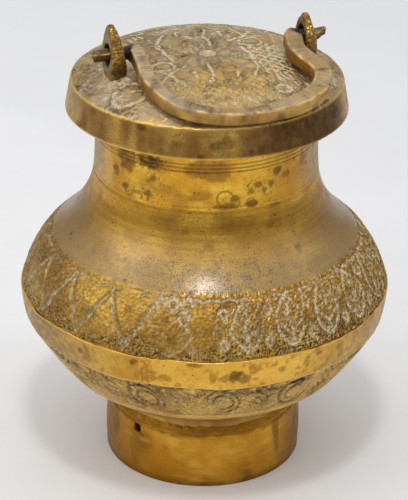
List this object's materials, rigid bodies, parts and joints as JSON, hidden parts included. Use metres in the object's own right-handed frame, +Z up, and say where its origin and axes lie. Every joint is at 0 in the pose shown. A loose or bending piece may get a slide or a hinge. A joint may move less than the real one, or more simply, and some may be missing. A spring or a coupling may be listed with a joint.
{
  "type": "kamandal water pot",
  "caption": "Small bellied brass water pot on a high foot ring, with a domed screw lid that carries a swinging forged bail.",
  "frame": {"origin": "middle of the foot ring on its resting plane", "axes": "+Z up along the pot's axis, X along the bail's pivot line, the bail lies towards -Y at rest"},
  "size_m": [0.0782, 0.0782, 0.1002],
  "materials": {
    "brass_satin": "satin",
    "brass_bright": "polished",
    "brass_dark": "tarnished",
    "brass_worked": "worn",
    "leather": "matte"
  },
  "bodies": {
    "pot": {"foot_ring": "brass_satin", "foot_solder": "brass_dark", "bowl": "brass_worked", "belt": "brass_bright", "shoulder": "brass_satin", "neck": "brass_bright"},
    "seal": {"washer": "leather"},
    "lid": {"lid_cap": "brass_dark", "lid_collar": "brass_worked", "lug_left": "brass_worked", "lug_right": "brass_worked"},
    "handle": {"bail": "brass_worked"}
  },
  "joints": [
    {"name": "lid_rise", "type": "slide", "parent": "pot", "child": "seal", "axis": [0, 0, 1], "range_m": [0, 0.005]},
    {"name": "lid_turn", "type": "hinge", "parent": "seal", "child": "lid", "pos_m": [0, 0, 0.0852], "axis": [0, 0, 1], "range_deg": [0, 900]},
    {"name": "bail_swing", "type": "hinge", "parent": "lid", "child": "handle", "pos_m": [0, -0.0036, 0.0939], "axis": [-1, 0, 0], "range_deg": [0, 199]}
  ],
  "couplings": [
    {"joint": "lid_turn", "follows": "lid_rise", "rad_per_m": 3141.6}
  ]
}
